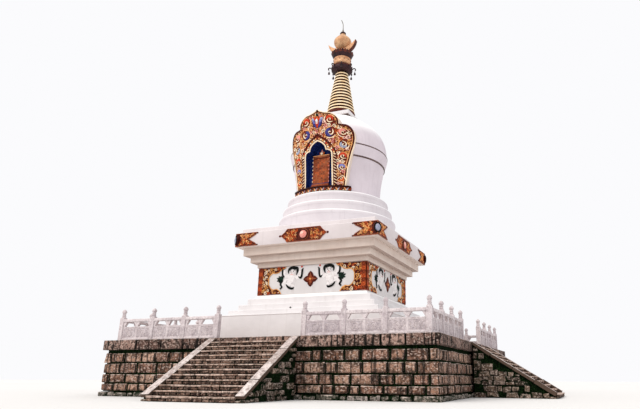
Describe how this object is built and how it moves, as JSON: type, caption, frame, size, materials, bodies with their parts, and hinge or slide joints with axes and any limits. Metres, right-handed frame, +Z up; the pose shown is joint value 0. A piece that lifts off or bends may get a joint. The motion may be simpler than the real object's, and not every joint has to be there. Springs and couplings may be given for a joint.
{
  "type": "stupa",
  "caption": "Whitewashed stupa on a square stone terrace with stairs and a carved balustrade, stepped base, vase with a niche, ringed spire and finial.",
  "frame": {"origin": "centre of the terrace's underside, on the ground", "axes": "+Z up along the spire, -Y towards the side with the niche, +X to the right seen from the front"},
  "size_m": [20.9606, 20.9606, 20.921],
  "materials": {
    "rubble_stone": "rough split blocks with mossy joints",
    "ledge_stone": "weathered slabs with vertical stains",
    "stair_stone": "worn rough slabs with light edges",
    "cap_stone": "light slabs on mossy rubble",
    "railing_stone": "light grey carved stone",
    "white_plaster": "matt whitewash over masonry",
    "cream_plaster": "matt cream wash",
    "niche_relief": "painted and gilded relief",
    "copper": "dull copper sheet",
    "red_lacquer": "dull red paint",
    "gilding": "pale weathered gilding",
    "dark_bronze": "dark bronze"
  },
  "bodies": {
    "root": {"platform_footing": "rubble_stone", "platform_wall": "rubble_stone", "platform_ledge": "ledge_stone", "stair_front": "stair_stone", "stair_front_cheek_left": "cap_stone", "stair_front_cheek_right": "cap_stone", "stair_right": "stair_stone", "stair_right_cheek_left": "cap_stone", "stair_right_cheek_right": "cap_stone", "stair_back": "stair_stone", "stair_back_cheek_left": "cap_stone", "stair_back_cheek_right": "cap_stone", "stair_left": "stair_stone", "stair_left_cheek_left": "cap_stone", "stair_left_cheek_right": "cap_stone", "railing_front_left": "railing_stone", "railing_front_right": "railing_stone", "railing_right_left": "railing_stone", "railing_right_right": "railing_stone", "railing_back_left": "railing_stone", "railing_back_right": "railing_stone", "railing_left_left": "railing_stone", "railing_left_right": "railing_stone", "base_tier": "white_plaster", "base_steps": "white_plaster", "die_foot": "white_plaster", "die": "white_plaster", "throne_slab": "white_plaster", "slab_plate": "white_plaster", "round_tier_1": "white_plaster", "round_tier_2": "white_plaster", "round_tier_3": "white_plaster", "vase": "white_plaster", "harmika": "white_plaster", "cornice_steps": "cream_plaster", "niche_shield": "niche_relief", "niche_base": "niche_relief", "niche_tablet": "copper", "spire_seat": "red_lacquer", "spire": "gilding", "drum": "gilding", "crescent": "gilding", "ball": "gilding", "canopy": "dark_bronze", "petal_crown": "dark_bronze", "finial_rod": "dark_bronze"}
  },
  "joints": []
}
